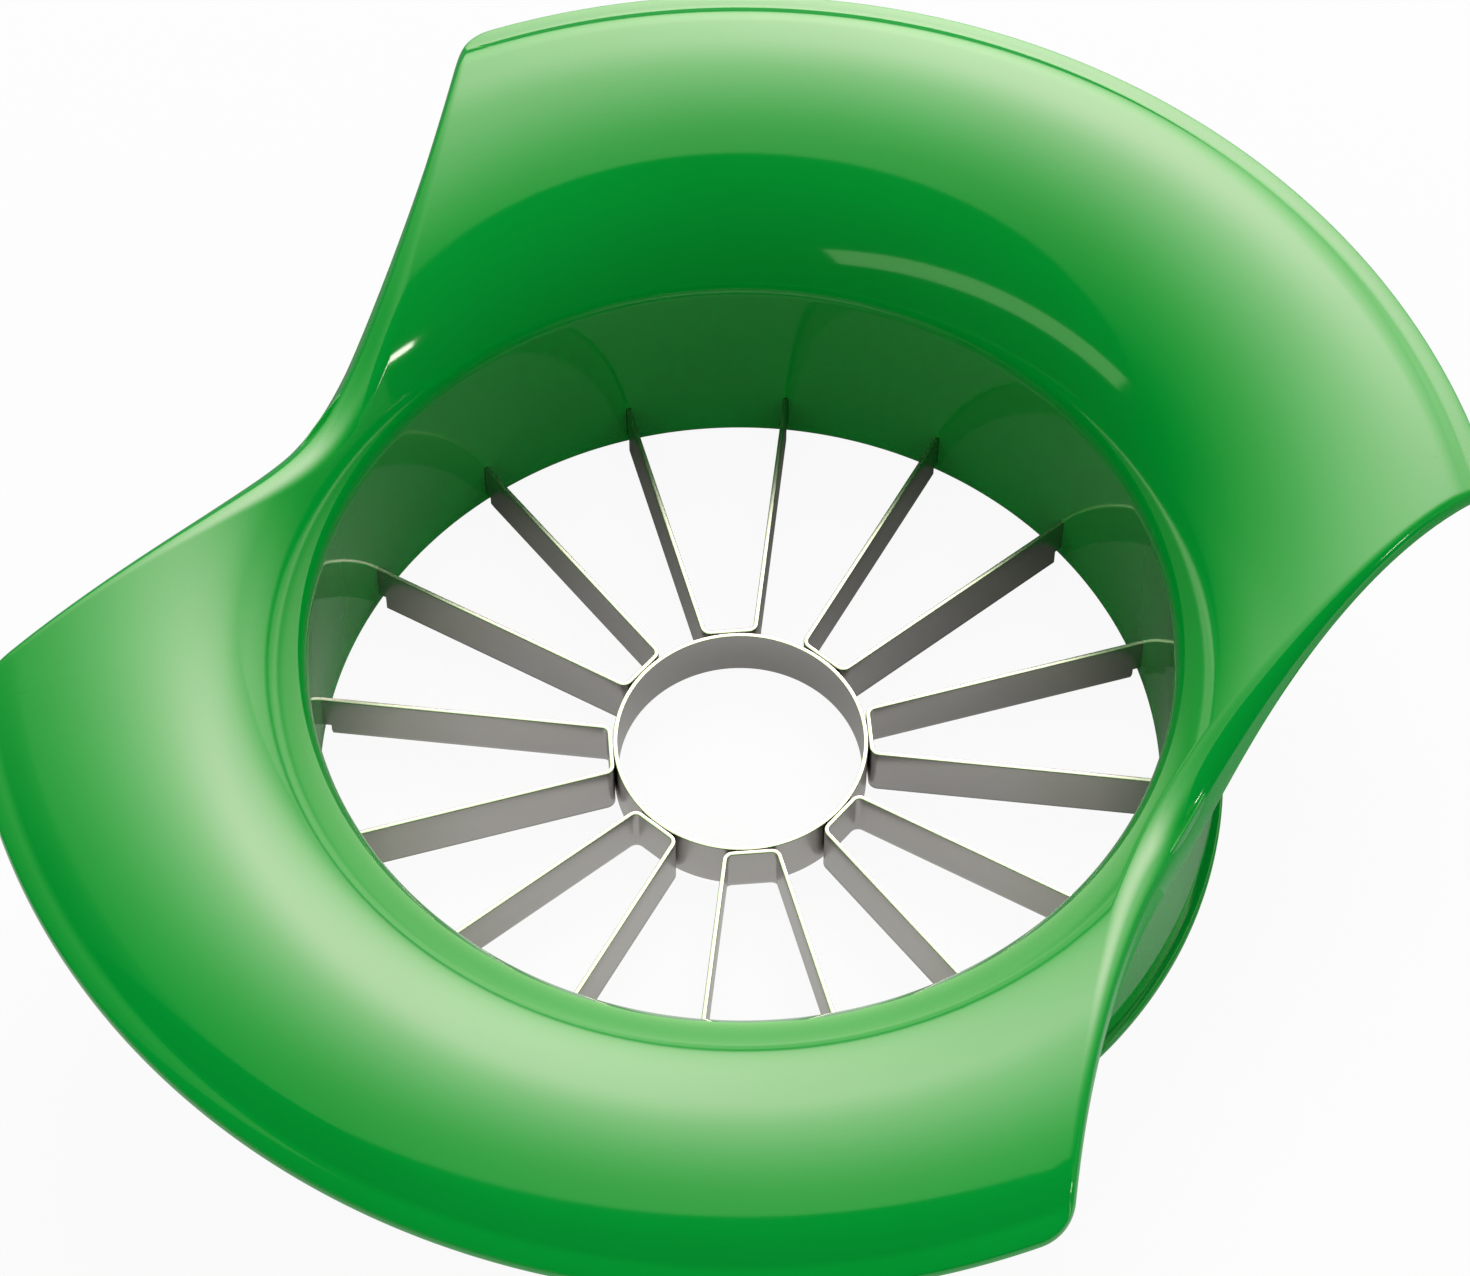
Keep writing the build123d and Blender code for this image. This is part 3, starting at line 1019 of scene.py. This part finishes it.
def make_far_card(name, place, size, colour):
    """A flat card that faces the object, at a place given as azimuth and height in degrees."""
    azimuth, height = (math.radians(angle) for angle in place)
    across = Vector((math.sin(azimuth), math.cos(azimuth), 0))
    center = CARD_DISTANCE * (across * math.cos(height) + Vector((0, 0, math.sin(height))))
    side = Vector((across.y, -across.x, 0)) * size[0] / 2
    up = side.cross(center).normalized() * size[1] / 2
    points = [[center - side - up, center + side - up], [center - side + up, center + side + up]]
    make_glow_card(name, points, [[colour, colour], [colour, colour]])


def bore_card_level(x, y):
    """Brightness of the bore card: it grows away from the camera in the middle, and dims at both sides."""
    out = abs(x)
    level = BORE_NEAR_LEVEL + BORE_GROWTH * min(1, (y + BORE_CARD_RADIUS) / BORE_GROWTH_LENGTH)
    level += BORE_MIDDLE_GAIN * (1 - smooth_rise(out, *BORE_MIDDLE_X)) * smooth_rise(y, *BORE_MIDDLE_Y)
    skewed = y + BORE_FAR_SIDE_SKEW * x
    far_side = smooth_rise(skewed, *BORE_FAR_SIDE_Y) * smooth_rise(out, *BORE_FAR_SIDE_X)
    far_end = smooth_rise(y, *BORE_FAR_END_Y) * smooth_rise(x, *BORE_FAR_END_X)
    level *= (1 - BORE_FAR_SIDE_CUT * far_side) * (1 - BORE_FAR_END_CUT * far_end)
    return level * (1 - BORE_SIDE_CUT * smooth_rise(out, *BORE_SIDE_X))


def make_bore_card():
    """A sheet across the bore, turned up at its far end: the bright things that the lip's gloss shows."""
    points, colours = [], []
    reach = BORE_CARD_FIT * BORE_CARD_RADIUS
    for y in spread(-reach, reach, BORE_CARD_ROWS):
        half_width = math.sqrt(BORE_CARD_RADIUS**2 - y * y)
        z = BORE_CARD_HEIGHT + BORE_CARD_RISE * smooth_rise(y, *BORE_RISE_SPAN)
        places = spread(-half_width, half_width, BORE_CARD_COLUMNS)
        points.append([(x, y, z) for x in places])
        colours.append([glow_colour(bore_card_level(x, y)) for x in places])
    make_glow_card("bore_card", points, colours)


def side_card_level(azimuth, height):
    """Brightness of the side card: it fades to the right and down to the horizon."""
    fade = SIDE_CARD_LEVEL * (1 - smooth_rise(azimuth, *SIDE_CARD_FADE)) + SIDE_CARD_LEAST
    return fade * (SIDE_CARD_HORIZON + SIDE_CARD_CLIMB * min(height, SIDE_CARD_FULL))


def make_side_card():
    """A standing sheet at the right, whose top edge climbs away from the soft light."""
    points, colours = [], []
    for azimuth in spread(*SIDE_CARD_AZIMUTHS, SIDE_CARD_COLUMNS):
        least, most = SIDE_CARD_TOPS
        top = min(most, max(least, azimuth - SIDE_CARD_START))
        heights = spread(SIDE_CARD_LOW, top, SIDE_CARD_ROWS)
        ahead = Vector((math.sin(math.radians(azimuth)), math.cos(math.radians(azimuth)), 0))
        column = [ahead + Vector((0, 0, math.tan(math.radians(height)))) for height in heights]
        points.append([CARD_DISTANCE * point for point in column])
        colours.append([glow_colour(side_card_level(azimuth, height)) for height in heights])
    make_glow_card("side_card", points, colours)


def make_key_light():
    """The soft light as it lights the object: broad, from behind."""
    light = bpy.data.lights.new("key", "AREA")
    light.shape = "RECTANGLE"
    light.size, light.size_y = KEY_SIZE, KEY_SIZE
    light.energy = KEY_POWER
    key = new_object("key", light)
    place = view_turn @ Vector(KEY_PLACE) * MM
    key.location = place
    key.rotation_euler = (-place).to_track_quat("-Z", "Y").to_euler()
    key.visible_glossy = False


make_floor()
make_world()
make_soft_light()
make_bore_card()
make_far_card("strip_light", STRIP_LIGHT_PLACE, STRIP_LIGHT_SIZE, glow_colour(STRIP_LIGHT_LEVEL))
make_far_card("small_light", SMALL_LIGHT_PLACE, SMALL_LIGHT_SIZE, SMALL_LIGHT_COLOUR)
make_side_card()
make_key_light()
bpy.context.scene.view_settings.view_transform = "Standard"
